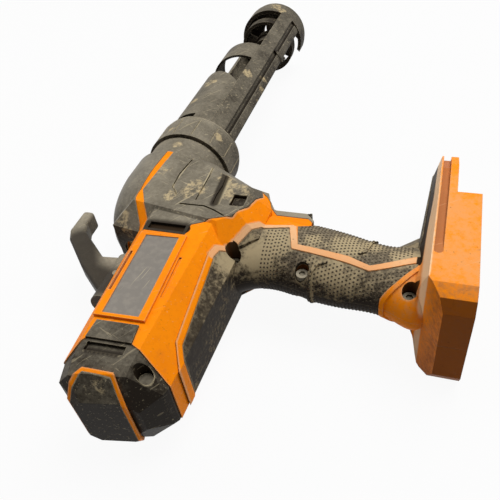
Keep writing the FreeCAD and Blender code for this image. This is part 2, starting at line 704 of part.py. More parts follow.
for side in (1, -1):
    hole = join([rod_z(screw_hole_r, cap_screw_head_z, reach, cap_screw_x, cap_screw_y),
                 rod_z(screw_r, cap_screw_end_z, cap_screw_head_z, cap_screw_x, cap_screw_y)])
    head = join([rod_z(screw_r, cap_screw_end_z, cap_screw_head_z, cap_screw_x, cap_screw_y),
                 rod_z(screw_head_r, cap_screw_head_z, cap_screw_head_z + screw_head_t, cap_screw_x, cap_screw_y)])
    hole, head = tilt(hole), tilt(head)
    cap_body = cap_body.cut(hole if side > 0 else mirror(hole))
    cap_screws.append(head if side > 0 else mirror(head))
rear_cap = largest(cap_body.cut(motor_bracket).removeSplitter())

# Nose barrel with its spigot, the ring that keeps the collar on it, and the rod bushes
nose = turned_y([(bush_r, nose_rear_y), (nose_r, nose_rear_y), (nose_r, nose_front_y), (spigot_r, nose_front_y),
                 (spigot_r, spigot_front_y), (nose_bore_r, spigot_front_y), (nose_bore_r, nose_floor_y),
                 (bush_r, nose_floor_y)])
nose = nose.cut(tube_sector(spigot_r - ring_depth, spigot_r + overrun, ring_y, ring_y + ring_t, 0, 360))
retaining_ring = tube_sector(spigot_r - ring_depth, ring_r, ring_y, ring_y + ring_t,
                             cradle_back_deg + ring_gap_deg / 2, cradle_back_deg + 360 - ring_gap_deg / 2)
front_bush = tube_sector(rod_r + bush_gap, bush_r, nose_rear_y, nose_floor_y, 0, 360)
rear_bush = tube_sector(rod_r + bush_gap, bush_r, case_tail_y + inner_inset / 2,
                        case_tail_y + inner_inset * 2, 0, 360)

# Collar and cradle
collar = turned_y([(collar_bore_r, 0), (collar_r, 0), (collar_r, collar_l - collar_front_step_l),
                   (collar_r - collar_front_step, collar_l - collar_front_step_l),
                   (collar_r - collar_front_step, collar_l), (collar_seat_r, collar_l),
                   (collar_seat_r, collar_seat_y), (ring_r + run_gap, collar_seat_y),
                   (ring_r + run_gap, collar_flange_l), (collar_bore_r, collar_flange_l)])
for k in range(collar_grooves):
    groove = box(collar_r - collar_groove_depth, collar_r + overrun, overrun * 2, collar_l - collar_front_step_l,
                 -collar_groove_w / 2, collar_groove_w / 2)
    groove.rotate(V(0, 0, 0), V(0, 1, 0), 360 * k / collar_grooves)
    collar = collar.cut(groove)


def around_back(r0, r1, y0, y1, deg0, deg1):
    return tube_sector(r0, r1, y0, y1, cradle_back_deg + deg0, cradle_back_deg + deg1)


neck = tube_sector(cradle_bore_r, collar_seat_r, collar_seat_y, neck_front_y, 0, 360)
hood = tube_sector(cradle_bore_r, hood_r, neck_front_y, hood_tip_y, 0, hood_half_deg * 2)
arch = Part.Arc(V(0, hood_side_y, -hood_r), V(0, hood_tip_y, 0), V(0, hood_side_y, hood_r)).toShape()
arch_face = Part.Face(Part.Wire([arch, Part.makePolygon([V(0, hood_side_y, hood_r), V(0, 0, hood_r),
                                                         V(0, 0, -hood_r), V(0, hood_side_y, -hood_r)])]))
arch_cut = arch_face.extrude(V(reach, 0, 0))
hood.rotate(V(0, 0, 0), V(0, -1, 0), -hood_half_deg)
hood = hood.common(arch_cut)
hood.rotate(V(0, 0, 0), V(0, -1, 0), cradle_back_deg)
pieces = [neck, hood, around_back(cradle_bore_r, strap_r, strap_rear_y, strap_front_y, -hood_half_deg, hood_half_deg)]
for side in (1, -1):
    rail = box(0, rail_top_r, neck_front_y, cup_rear_y + overrun, -rail_w / 2, rail_w / 2)
    rail = rail.cut(rod_y(cradle_bore_r, neck_front_y - overrun, cup_front_y))
    rail.rotate(V(0, 0, 0), V(0, -1, 0), cradle_back_deg + side * rail_deg)
    pieces.append(rail)
    lip_degs = sorted((side * rail_deg, side * rail_lip_deg))
    for r1, y0, y1 in ((rail_lip_r, neck_front_y, cup_front_y),
                       (rail_top_r, rail_gusset_y, rail_gusset_y + rail_gusset_t)):
        pieces.append(around_back(cradle_bore_r, r1, y0, y1, lip_degs[0], lip_degs[1]))
cup = tube_sector(cup_bore_r, cup_r, cup_rear_y, cup_front_y - cup_step_l, 0, 360)
cup = join([cup, tube_sector(cup_bore_r, cup_r - cup_step, cup_front_y - cup_step_l, cup_front_y, 0, 360),
            tube_sector(cup_hole_r, cup_bore_r, cup_front_y - cup_floor, cup_front_y, 0, 360)])
nozzle_slot = box(0, reach, cup_rear_y - overrun, cup_front_y + overrun, -cup_hole_r, cup_hole_r)
nozzle_slot.rotate(V(0, 0, 0), V(0, -1, 0), cradle_back_deg + 180)
cradle = join(pieces + [cup]).cut(nozzle_slot.common(box(-reach, reach, cup_rear_y - overrun, reach, -reach, reach)))
cradle = cradle.cut(around_back(cradle_bore_r - overrun, reach, hood_slot_y, hood_slot_y + hood_slot_w,
                                -hood_slot_deg, hood_slot_deg))

# Rod with its rack, plunger and hook
pitch = math.pi * rack_module
slope = math.tan(math.radians(pressure_deg))
gap_half = pitch / 4 + backlash / 2
tip_x = rack_pitch_x + rack_module * addendum_share
root_x = rack_pitch_x - rack_module * dedendum_share
saw = [(rod_r + overrun, drive_shaft_y - (rack_gaps_behind + 1) * pitch)]
saw.append((tip_x, saw[0][1]))
for k in range(-rack_gaps_behind, rack_gaps_ahead):
    y = drive_shaft_y + k * pitch
    saw += [(tip_x, y - gap_half - (tip_x - rack_pitch_x) * slope),
            (root_x, y - gap_half + (rack_pitch_x - root_x) * slope),
            (root_x, y + gap_half - (rack_pitch_x - root_x) * slope),
            (tip_x, y + gap_half + (tip_x - rack_pitch_x) * slope)]
saw += [(tip_x, drive_shaft_y + rack_gaps_ahead * pitch), (rod_r + overrun, drive_shaft_y + rack_gaps_ahead * pitch)]
hook_boss_rear_y = hook_boss_front_y - hook_boss_l
rack_rod = rod_y(rod_r, hook_boss_rear_y + hook_boss_floor, plunger_back_y)
rack_rod = rack_rod.cut(prism_z(saw, -reach, reach))
screw_tip_y = plunger_front_y - plunger_screw_l
rack_rod = rack_rod.cut(rod_y(plunger_screw_r, screw_tip_y, plunger_front_y))
plunger = join([rod_y(plunger_r, plunger_back_y, plunger_front_y),
                rod_y(plunger_hub_r, plunger_back_y - plunger_hub_l, plunger_back_y),
                tube_sector(plunger_r - plunger_rim_t, plunger_r, plunger_front_y - plunger_rim_l, plunger_front_y, 0, 360)])
plunger = plunger.cut(rod_y(rod_r, plunger_back_y - plunger_hub_l, plunger_back_y))
plunger = plunger.cut(rod_y(plunger_screw_r, plunger_back_y, plunger_front_y))
for k in range(plunger_windows):
    window_deg = 360 * k / plunger_windows
    plunger = plunger.cut(tube_sector(plunger_window_r0, plunger_window_r1, plunger_back_y - overrun,
                                      plunger_front_y + overrun, window_deg, window_deg + plunger_window_deg))
plunger_screw = join([rod_y(plunger_screw_r, screw_tip_y, plunger_front_y),
                      rod_y(plunger_screw_head_r, plunger_front_y, plunger_front_y + plunger_screw_head_t)])
hook_arm = prism_z(hook_outline, -hook_w / 2, hook_w / 2)
corners = [edge for edge in hook_arm.Edges if edge.BoundBox.ZLength > hook_corner_r and edge.BoundBox.XMax < hook_round_x]
hook_arm = hook_arm.makeFillet(hook_corner_r, corners)
rims = [edge for edge in hook_arm.Edges if edge.BoundBox.ZLength < hook_corner_r and edge.BoundBox.XMax < hook_round_x]
hook_arm = hook_arm.makeFillet(hook_edge_r, rims)
hook = join([rod_y(hook_boss_r, hook_boss_rear_y, hook_boss_front_y), hook_arm])
pin_y = (hook_boss_front_y + hook_boss_rear_y + hook_boss_floor) / 2
hook_pin = rod_z(hook_pin_r, -hook_boss_r, hook_boss_r, 0, pin_y)
hook = hook.cut(rod_y(rod_r, hook_boss_rear_y + hook_boss_floor, hook_boss_front_y)).cut(hook_pin)
rack_rod = rack_rod.cut(hook_pin)

# Gears and shafts
rack_pinion = spur_gear(rack_module, rack_pinion_teeth, drive_shaft_x, drive_shaft_y,
                        -rack_pinion_w / 2, rack_pinion_w / 2, math.pi)
drive_gear = spur_gear(drive_module, drive_gear_teeth, drive_shaft_x, drive_shaft_y,
                       drive_gear_z, drive_gear_z + drive_gear_w, -drive_angle)
drive_pinion = spur_gear(drive_module, drive_pinion_teeth, motor_x, cross_shaft_y, drive_gear_z,
                         drive_gear_z + drive_gear_w, math.pi - drive_angle + math.pi / drive_pinion_teeth)
drive_shaft = rod_z(shaft_r, -shaft_half_l, shaft_half_l, drive_shaft_x, drive_shaft_y)
cross_shaft = rod_z(shaft_r, -shaft_half_l, shaft_half_l, motor_x, cross_shaft_y)
rack_pinion = rack_pinion.cut(drive_shaft)
drive_gear = drive_gear.cut(drive_shaft)
drive_pinion = drive_pinion.cut(cross_shaft)
bevel_gear, gear_back, gear_front = bevel_solid(bevel_gear_teeth, bevel_gear_pitch_r, bevel_pinion_pitch_r,
                                                V(0, 0, -1), V(0, -1, 0), math.pi / bevel_gear_teeth)
bevel_gear = join([bevel_gear, rod_z(bevel_hub_r, bevel_hub_end_z, -gear_front[1], motor_x, cross_shaft_y)])
bevel_gear = tilt(bevel_gear.cut(cross_shaft))
bevel_pinion, pinion_back, pinion_front = bevel_solid(bevel_pinion_teeth, bevel_pinion_pitch_r, bevel_gear_pitch_r,
                                                      V(0, -1, 0), V(0, 0, -1), 0)
pinion_back_y = cross_shaft_y - pinion_back[1]
bevel_pinion = join([bevel_pinion, rod_y(pinion_back[0], pinion_back_y - output_hub_l, pinion_back_y, motor_x),
                     rod_y(output_shaft_r, gearbox_front_y - output_shaft_in_l, pinion_back_y, motor_x)])
bevel_pinion = tilt(bevel_pinion)


def bearing(z0, x, y):
    return rod_z(bearing_r, z0, z0 + bearing_w, x, y).cut(rod_z(shaft_r + bearing_gap, -reach, reach, x, y))


drive_bearings = [bearing(z, drive_shaft_x, drive_shaft_y) for z in (seat_z, -shaft_half_l)]
cross_bearings = [bearing(z, motor_x, cross_shaft_y) for z in (seat_z, -shaft_half_l)]
gearbox = join([rod_y(motor_room_r, gearbox_rear_y, gearbox_front_y - gearbox_nose_l, motor_x),
                rod_y(gearbox_nose_r, gearbox_front_y - gearbox_nose_l, gearbox_front_y, motor_x)])
output_bore_rear_y = gearbox_front_y - output_shaft_in_l - run_gap
gearbox = tilt(gearbox.cut(rod_y(output_shaft_r + bearing_gap, output_bore_rear_y, gearbox_front_y, motor_x)))
motor = tilt(rod_y(motor_r, motor_end_y, gearbox_rear_y, motor_x))
for solid in cap_screws:
    motor_bracket = motor_bracket.cut(solid)

# Trigger, switch, lock button, foot fittings and label plate
stem_x = (trigger_top_x + trigger_low_x) / 2
trigger = box(trigger_top_x, trigger_low_x, trigger_rear_y, trigger_front_y, -trigger_half_w, trigger_half_w)
trigger = trigger.cut(rod_z(trigger_dish_r, -reach, reach, stem_x, trigger_front_y - trigger_dish + trigger_dish_r))
trigger = join([trigger, rod_y(trigger_stem_r, trigger_rear_y - trigger_stem_l, trigger_rear_y, stem_x)])
switch_body = box(trigger_top_x - trigger_side_gap, trigger_low_x + trigger_side_gap, switch_rear_y, switch_front_y,
                  -trigger_half_w - trigger_side_gap, trigger_half_w + trigger_side_gap)
switch_body = switch_body.cut(rod_y(trigger_stem_r + stem_gap, switch_rear_y + stem_gap, switch_front_y, stem_x))
lock_button = box(lock_x - lock_h / 2, lock_x + lock_h / 2, lock_y - lock_w / 2, lock_y + lock_w / 2,
                  lock_rest_z - lock_half_l, lock_rest_z + lock_half_l)
terminal_block = box(foot_skirt_x - terminal_t, foot_skirt_x, foot_room_rear_y, foot_room_front_y,
                     -foot_room_half_w, foot_room_half_w)
blade_gap = foot_room_half_w * 2 / blade_count
blades = []
for k in range(blade_count):
    z = -foot_room_half_w + (k + 1 / 2) * blade_gap
    blades.append(box(foot_skirt_x - terminal_t / 2, foot_skirt_x + blade_h, foot_room_rear_y + terminal_t,
                      foot_room_rear_y + terminal_t + blade_l, z - blade_t / 2, z + blade_t / 2))
for solid in blades:
    terminal_block = terminal_block.cut(solid)
foot_bumper = moved_x(foot, -skin_stand).cut(moved_x(foot, skin_t)).cut(proud)
foot_bumper = largest(foot_bumper.common(prism_x(full_ring(bumper_half), foot_top_x, foot_plate_x)))
right_shell = right_shell.cut(foot_bumper)
left_shell = left_shell.cut(foot_bumper)
rating_plate = tilt(box(label_x0, label_x1, label_rear_y, label_front_y, motor_half_w + label_frame_h - label_pocket,
                        motor_half_w + label_frame_h - label_pocket + label_t))

nodes = {
    "right_shell": right_shell, "left_shell": left_shell,
    "right_case_skin": case_skin, "left_case_skin": mirror(case_skin),
    "right_side_panel": side_panel, "left_side_panel": mirror(side_panel),
    "right_grip_skin": grip_skin, "left_grip_skin": mirror(grip_skin),
    "right_front_pad": front_pad, "left_front_pad": mirror(front_pad),
    "right_front_strip": front_strip, "left_front_strip": mirror(front_strip),
    "rear_cap": rear_cap, "cap_trim": trim, "rating_plate": rating_plate,
    "nose_barrel": nose, "retaining_ring": retaining_ring, "front_bush": front_bush, "rear_bush": rear_bush,
    "gearbox": gearbox, "motor": motor, "motor_bracket": motor_bracket,
    "drive_bearings": Part.makeCompound(drive_bearings), "cross_bearings": Part.makeCompound(cross_bearings),
    "switch_body": switch_body, "terminal_block": terminal_block, "contact_blades": Part.makeCompound(blades),
    "foot_bumper": foot_bumper, "housing_screws": Part.makeCompound(screws),
    "cap_screws": Part.makeCompound(cap_screws),
    "rack_rod": rack_rod, "plunger": plunger, "plunger_screw": plunger_screw, "pull_hook": hook, "hook_pin": hook_pin,
    "collar": collar, "cradle": cradle, "trigger": trigger, "lock_button": lock_button,
    "bevel_pinion": bevel_pinion, "bevel_gear": bevel_gear, "drive_pinion": drive_pinion, "cross_shaft": cross_shaft,
    "drive_gear": drive_gear, "rack_pinion": rack_pinion, "drive_shaft": drive_shaft,
}

# The origin is the middle of the footprint on the surface that the tool lies on
whole = Part.makeCompound(list(nodes.values())).optimalBoundingBox()
shift = V(-(whole.XMin + whole.XMax) / 2, -(whole.YMin + whole.YMax) / 2, -whole.ZMin)
os.makedirs("parts", exist_ok=True)
for name, shape in nodes.items():
    shape.translate(shift)
    shape.exportStep("parts/" + name + ".step")
print("origin", shift, "volume", {name: round(shape.Volume) for name, shape in nodes.items()})
print("solids", {name: len(shape.Solids) for name, shape in nodes.items() if len(shape.Solids) != 1})
print("invalid", [name for name, shape in nodes.items() if not shape.isValid()])
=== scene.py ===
# %% [markdown]
# # A worn cordless caulking tool
# The tool lies on its left side: orange shells, black moulded skins, a dotted rubber grip, and a half-open
# cradle for the cartridge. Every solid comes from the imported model, which fixes all sizes and joints.
# This lesson dresses those solids: a camera, soft light, finishes made of shader nodes, and small raised
# details that the solids leave out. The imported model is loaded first, because each later step measures it.

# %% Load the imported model
import json
import math

import bpy
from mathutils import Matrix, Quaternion, Vector
from mathutils.bvhtree import BVHTree


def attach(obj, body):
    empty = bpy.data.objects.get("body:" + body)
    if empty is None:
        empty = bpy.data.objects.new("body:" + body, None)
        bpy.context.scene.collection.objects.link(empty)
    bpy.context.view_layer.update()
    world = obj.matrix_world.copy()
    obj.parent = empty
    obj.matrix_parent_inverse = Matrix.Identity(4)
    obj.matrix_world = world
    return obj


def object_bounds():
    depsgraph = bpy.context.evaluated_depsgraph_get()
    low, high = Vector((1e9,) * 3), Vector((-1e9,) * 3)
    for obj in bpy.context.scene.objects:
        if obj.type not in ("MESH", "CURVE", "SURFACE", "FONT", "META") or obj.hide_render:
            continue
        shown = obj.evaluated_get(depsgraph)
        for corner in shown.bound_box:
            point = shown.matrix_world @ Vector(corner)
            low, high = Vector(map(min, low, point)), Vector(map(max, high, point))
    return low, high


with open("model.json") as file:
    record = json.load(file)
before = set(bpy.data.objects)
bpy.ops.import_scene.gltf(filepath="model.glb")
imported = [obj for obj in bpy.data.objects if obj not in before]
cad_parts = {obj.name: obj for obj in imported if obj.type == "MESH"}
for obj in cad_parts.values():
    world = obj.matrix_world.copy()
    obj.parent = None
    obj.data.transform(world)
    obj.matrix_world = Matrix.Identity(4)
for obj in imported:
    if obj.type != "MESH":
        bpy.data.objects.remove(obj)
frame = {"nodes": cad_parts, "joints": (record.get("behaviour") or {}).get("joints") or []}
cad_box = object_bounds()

# %% [markdown]
# Sizes in this lesson are millimetres in the tool's own directions: X down the handle, Y forward along the
# push rod, Z to the tool's right side. Zero is on the rod's axis, at the back face of the turning collar.
# The point could be typed in as three numbers. It is found from the collar's joint instead, so that the
# lesson follows the model wherever it was placed.

# %% Where zero is
MM = 0.001
collar_joint = next(j for j in frame["joints"] if j["name"] == "carriage_turn")
joint_ahead_of_zero = 6.0
tool_zero = Vector(collar_joint["pos_m"]) - Vector((0, joint_ahead_of_zero * MM, 0))


def place(x, y, z):
    return tool_zero + Vector((x, y, z)) * MM


print("zero", [round(c, 4) for c in tool_zero])

# %% [markdown]
# The camera stands behind and above the tool's right side, close enough that the battery foot looms large.
# A position, a point to look at and a roll say this more plainly than nine numbers of a matrix would. The
# lamps are aimed in the same way later, so a function does it.

# %% Camera
camera_spot = (160.85, -284.03, 220.55)
camera_target = (65.74, -68.09, 0.0)
camera_roll_deg = 9.154
camera_lens = 40.33
camera_nearest_m = 0.01


def add(name, data):
    thing = bpy.data.objects.new(name, data)
    bpy.context.scene.collection.objects.link(thing)
    return thing


def aim(thing, spot, roll_deg=0.0):
    # Stand a camera or a lamp at a spot and point it at the tool
    thing.location = place(*spot)
    turn = (place(*camera_target) - thing.location).to_track_quat("-Z", "Y")
    thing.rotation_euler = (turn @ Quaternion((0, 0, 1), math.radians(-roll_deg))).to_euler()


camera = add("camera", bpy.data.cameras.new("camera"))
camera.data.lens = camera_lens
camera.data.clip_start = camera_nearest_m
aim(camera, camera_spot, camera_roll_deg)
bpy.context.scene.camera = camera
bpy.context.scene.view_settings.view_transform = "Standard"
print("camera", [round(c, 3) for c in camera.location])

# %% [markdown]
# Nodes can be added and linked one by one, but a finish of a hundred nodes is then hard to read. Shader maths
# reads best as ordinary sums. The class below wraps one socket, so that a plus or a minus adds a Math node,
# and one method makes every other kind of node.


# %% Sockets as values
class Wire:
    # One socket of a node tree, which adds nodes when it is used in a sum
    def __init__(self, tree, socket=None):
        self.tree = tree
        self.socket = socket

    def node(self, kind, settings=None, inputs=None, out=0):
        made = self.tree.nodes.new(kind)
        for name, value in (settings or {}).items():
            setattr(made, name, value)
        for key, value in (inputs or {}).items():
            if isinstance(value, Wire):
                self.tree.links.new(value.socket, made.inputs[key])
            else:
                made.inputs[key].default_value = value
        return Wire(self.tree, made.outputs[out] if made.outputs else None)

    def sum(self, operation, first, second):
        return self.node("ShaderNodeMath", {"operation": operation}, {0: first, 1: second})

    def __add__(self, other):
        return self.sum("ADD", self, other)

    def __sub__(self, other):
        return self.sum("SUBTRACT", self, other)

    def __rsub__(self, other):
        return self.sum("SUBTRACT", other, self)

    def __mul__(self, other):
        return self.sum("MULTIPLY", self, other)

    __radd__ = __add__
    __rmul__ = __mul__

    def most(self, other):
        return self.sum("MAXIMUM", self, other)

    def least(self, other):
        return self.sum("MINIMUM", self, other)

    def band(self, low, high):
        # 0 below low and 1 above high, with a soft step between
        return self.node("ShaderNodeMapRange", {"interpolation_type": "SMOOTHSTEP"},
                         {"Value": self, "From Min": low, "From Max": high})

    def vector(self, operation, first, second, out=0):
        return self.node("ShaderNodeVectorMath", {"operation": operation}, {0: first, 1: second}, out)


print("sockets add up")

# %% [markdown]
# A few forms come back in every finish: a colour, a mix of two colours, the strongest of several masks and a
# value held between 0 and 1. Written out each time they would hide what a finish says, so they get names.

# %% Small shader helpers
mix_factor = 0
mix_under = 6
mix_over = 7
mix_result = 2


def rgb(red, green, blue):
    return (red, green, blue, 1.0)


def mix(mask, under, over):
    # Colour under where the mask is 0, colour over where it is 1
    return mask.node("ShaderNodeMix", {"data_type": "RGBA"},
                     {mix_factor: mask, mix_under: under, mix_over: over}, mix_result)


def strongest(*masks):
    found, *others = masks
    for mask in others:
        found = found.most(mask)
    return found


def held(value):
    return value.most(0.0).least(1.0)


print("shader helpers ready")

# %% [markdown]
# Old tools are never one colour. Each finish below starts from the same few readings of the surface: a place
# in millimetres, noise at that scale, corners that hold dust, edges that are rubbed bare, and scratches.
# Wear could be painted on an unwrapped image, which has to be redone whenever the model changes. Here the
# Ambient Occlusion node finds corners when it looks outward and edges when it looks inward, on any shape.

# %% Surface readings
occlusion_samples = 6
bevel_samples = 4


class Surface:
    def __init__(self, name):
        self.material = bpy.data.materials.new(name)
        self.material.use_nodes = True
        self.tree = self.material.node_tree
        self.tree.nodes.clear()
        self.start = Wire(self.tree)
        self.output = self.tree.nodes.new("ShaderNodeOutputMaterial")
        coords = self.start.node("ShaderNodeTexCoord", out="Object")
        moved = coords.vector("SUBTRACT", coords, tuple(tool_zero))
        self.place = moved.vector("MULTIPLY", moved, (1 / MM,) * 3)

    def noise(self, per_mm, detail=4.0, rough=0.55, warp=0.0):
        return self.start.node("ShaderNodeTexNoise", None, {
            "Vector": self.place, "Scale": per_mm, "Detail": detail, "Roughness": rough, "Distortion": warp})

    def streaks(self, per_mm, stretch, turn_deg, detail=3.0):
        # Noise drawn out along one direction, for scratches and wipe marks
        turned = self.start.node("ShaderNodeMapping", {"vector_type": "TEXTURE"}, {
            "Vector": self.place, "Rotation": [math.radians(a) for a in turn_deg], "Scale": (stretch, 1, 1)})
        return self.start.node("ShaderNodeTexNoise", None, {
            "Vector": turned, "Scale": per_mm, "Detail": detail})

    def grain(self, per_mm, fine):
        # The relief of a moulded skin: an even grain and a share of its fine dirt
        return self.noise(per_mm, detail=2.0) * 0.4 + fine * 0.6

    def hidden(self, reach_mm, inside):
        # The share of the view from a point that nearby faces block, outside or inside the solid
        seen = self.start.node("ShaderNodeAmbientOcclusion",
                               {"samples": occlusion_samples, "inside": inside, "only_local": inside},
                               {"Distance": reach_mm * MM}, "AO")
        return 1 - seen

    def corners(self, reach_mm):
        return self.hidden(reach_mm, inside=False)

    def edges(self, reach_mm):
        return self.hidden(reach_mm, inside=True)

    def facing(self, direction):
        normal = self.start.node("ShaderNodeTexCoord", out="Normal")
        return normal.vector("DOT_PRODUCT", normal, direction, "Value")

    def finish(self, colour, rough, height=None, metallic=0.0, specular=0.5, soften_mm=0.5, bump_mm=0.05):
        # soften_mm rounds the edges in the light, and bump_mm is how deep the height goes
        normal = self.start.node("ShaderNodeBevel", {"samples": bevel_samples}, {"Radius": soften_mm * MM})
        if height is not None:
            normal = self.start.node("ShaderNodeBump", None, {
                "Strength": 1.0, "Distance": bump_mm * MM, "Height": height, "Normal": normal})
        shader = self.start.node("ShaderNodeBsdfPrincipled", None, {
            "Base Color": colour, "Roughness": rough, "Metallic": metallic,
            "Specular IOR Level": specular, "Normal": normal})
        self.tree.links.new(shader.socket, self.output.inputs["Surface"])
        return self.material


print("surface readings ready")

# %% [markdown]
# Some marks have a fixed place: mud on a panel, a worn border, dirt in a screw's well. Images or extra meshes
# could carry them. Here they are spots, and lines drawn on the tool's side view, and a finish measures how
# far each point lies from them, because a spot or a line is a few numbers that are easy to move.


# %% Distances on the tool
class MappedSurface(Surface):
    def __init__(self, name):
        super().__init__(name)
        self.flat = self.place.vector("MULTIPLY", self.place, (1, 1, 0))

    def near(self, spot, reach_mm):
        # 1 at a spot, falling to 0 at the given distance
        away = self.place.vector("DISTANCE", self.place, spot, "Value")
        return 1 - away * (1 / reach_mm)

    def nearest(self, spots):
        # The same for several spots, each with its own reach
        return strongest(*[self.near(spot, reach_mm).most(0.0) for spot, reach_mm in spots])

    def down_handle(self):
        # Millimetres from the rod's axis along the handle
        return self.place.node("ShaderNodeSeparateXYZ", None, {0: self.place}, 0)

    def along(self, path):
        # Millimetres from the nearest point of a path drawn on the tool's side view
        nearest = None
        for (x0, y0), (x1, y1) in zip(path, path[1:]):
            step = Vector((x1 - x0, y1 - y0, 0))
            from_start = self.flat.vector("SUBTRACT", self.flat, (x0, y0, 0))
            share = from_start.vector("DOT_PRODUCT", from_start, tuple(step / step.length_squared), "Value")
            share = share.least(1.0).most(0.0)
            foot = share.node("ShaderNodeCombineXYZ", None, {0: share * step.x, 1: share * step.y})
            away = from_start.vector("DISTANCE", from_start, foot, "Value")
            nearest = away if nearest is None else nearest.least(away)
        return nearest

    def round_axis(self, x, y):
        # Millimetres from a line straight through the tool's side, such as a screw's axis
        return self.flat.vector("DISTANCE", self.flat, (x, y, 0), "Value")


print("distances ready")

# %% [markdown]
# A finish is put on by giving a node's mesh a new material; its shape stays as it is. Most outer pieces come
# as a right and a left one, so a second helper gives both names and no list has to repeat them.


# %% Putting a finish on
def wear(node_names, material):
    for node_name in node_names:
        mesh = frame["nodes"][node_name].data
        mesh.materials.clear()
        mesh.materials.append(material)
    print(material.name, "on", len(node_names))


def both(part):
    return ["right_" + part, "left_" + part]


print("pairs such as", both("shell"))

# %% [markdown]
# The shells are orange glass-filled nylon. The motor's sides still have their full colour; the battery foot
# has faded and gathered soot, and its rear faces are painted dark brown as painted shade. The raised border
# round the grip has worn to a dull peach, and pale dust lies on the foot's sloping ledge, between a dark
# strip and a groove darkened by painted shade. A material for each patch would leave hard seams, so one
# finish fades from patch to patch by distance from a few lines.

# %% Orange tones and the lines on the shells
orange = rgb(0.93, 0.260, 0.003)
orange_deep = rgb(0.78, 0.190, 0.003)
orange_faded = rgb(0.76, 0.35, 0.125)
orange_worn = rgb(0.76, 0.45, 0.235)
orange_rear_shade = rgb(0.13, 0.036, 0.010)
orange_shaded = rgb(0.36, 0.13, 0.05)
ledge_dust = rgb(0.95, 0.66, 0.40)
seam_dirt = rgb(0.13, 0.065, 0.022)
grime_and_shade = rgb(0.024, 0.014, 0.007)
grip_border = ((57.0, -98.0), (57.8, -92.0), (63.4, -86.2), (68.4, -76.8), (74.2, -67.2), (90.8, -62.4),
               (95.6, -77.3), (125.0, -81.8), (136.0, -84.6), (159.0, -77.3))
foot_middle = (186.0, -60.0, 15.0)
foot_reach = 95.0
foot_shade_from_x = 162.0
foot_shade_full_x = 170.0
foot_ledge = ((162.4, 12.0), (162.6, -30.0), (163.0, -100.0))
foot_groove = ((167.2, 20.0), (167.2, -84.0))
groove_half = 1.8
groove_outer = 2.3
rearward = (0, -1, 0)
print("grip border of", len(grip_border), "points")

# %% [markdown]
# Screw wells, the lock button's window and the pocket above the rating plate get painted shade, and the
# rubber bumper's dark edge runs along the foot. Separate meshes would need cuts in the shells. Here they are
# lists of places, each with the two distances between which the dark fades out, so that one function paints
# them all.

# %% Dark places on the shells
pocket_line = ((18.0, -87.0), (38.0, -87.0))
foot_strip = ((161.2, 10.0), (160.8, -36.0), (159.8, -58.0), (159.4, -80.0))
window_spot = (60.0, -60.0)
screw_wells = ((64.5, -87.5), (102.0, -88.5), (157.0, -94.0))
well_r = 3.75
well_fade = 0.25
shade_and_bumper_lines = ((pocket_line, 3.2, 3.8), (foot_strip, 1.1, 1.6))
shaded_holes = [(window_spot, 6.4, 7.2)]
shaded_holes += [(well, well_r, well_r + well_fade) for well in screw_wells]


def shade_and_bumper(skin):
    lines = [1 - skin.along(path).band(start, stop) for path, start, stop in shade_and_bumper_lines]
    holes = [1 - skin.round_axis(*spot).band(start, stop) for spot, start, stop in shaded_holes]
    return strongest(*lines, *holes)


print("dark places", len(shade_and_bumper_lines) + len(shaded_holes))


# %% Orange shells
def shell_plastic():
    skin = MappedSurface("orange_shell_plastic")
    broad = skin.noise(per_mm=0.03, detail=5.0)
    fine = skin.noise(per_mm=0.35, detail=7.0, rough=0.68)
    colour = mix(broad.band(0.42, 0.80) * 0.6 + fine.band(0.48, 0.66) * 0.4, orange, orange_deep)
    on_foot = skin.near(foot_middle, foot_reach).band(0.25, 0.6)
    faded = (broad * 0.45 + fine * 0.55 + on_foot * 0.16).band(0.50, 0.72)
    colour = mix(faded * (0.08 + on_foot * 0.62), colour, orange_faded)
    # Painted shade darkens the groove across the foot
    groove_shade = 1 - skin.along(foot_groove).band(groove_half, groove_outer)
    colour = mix(groove_shade * 0.85, colour, orange_shaded)
    long_scratch = skin.streaks(per_mm=0.9, stretch=22.0, turn_deg=(0, 0, 35)).band(0.67, 0.73)
    cross_scratch = skin.streaks(per_mm=0.7, stretch=26.0, turn_deg=(20, 60, 100)).band(0.68, 0.74)
    scratch = long_scratch.most(cross_scratch)
    rubbed = (skin.edges(reach_mm=1.2) * 1.2 + fine * 0.6).band(0.72, 1.1)
    border = (1 - skin.along(grip_border) * 0.30 + fine * 0.5).band(0.45, 0.85)
    border = border * (0.7 + broad.band(0.35, 0.65) * 0.3)
    colour = mix(strongest(rubbed * 0.6, scratch * 0.25, border), colour, orange_worn)
    ledge = (1 - skin.along(foot_ledge) * 0.40 + fine * 0.4).band(0.25, 0.75)
    colour = mix(ledge * 0.9, colour, ledge_dust)
    seams = (skin.corners(reach_mm=2.0) + fine * 0.5).band(0.70, 1.15)
    colour = mix(seams * 0.8, colour, seam_dirt)
    # Painted shade: the foot's rear faces turn dark brown
    foot_rear_shade = (skin.facing(rearward) + fine * 0.4).band(0.5, 0.9)
    foot_rear_shade = foot_rear_shade * skin.down_handle().band(foot_shade_from_x, foot_shade_full_x)
    colour = mix(foot_rear_shade * 0.8, colour, orange_rear_shade)
    soot = skin.noise(per_mm=0.12, detail=9.0, rough=0.72, warp=0.8).band(0.60, 0.80)
    specks = skin.noise(per_mm=0.6, detail=5.0, rough=0.6).band(0.64, 0.72)
    colour = mix((soot * (0.2 + on_foot * 0.4)).most(specks * 0.4), colour, grime_and_shade)
    # Painted shade in the screw wells, the window and the pocket, and the bumper's dark edge
    colour = mix(shade_and_bumper(skin), colour, grime_and_shade)
    rough = 0.45 + faded * 0.15 + seams * 0.2
    relief = skin.grain(per_mm=3.0, fine=fine) - scratch * 0.6
    return skin.finish(colour, rough, relief, specular=0.04, soften_mm=0.6, bump_mm=0.03)


wear(both("shell") + ["cap_trim"], shell_plastic())
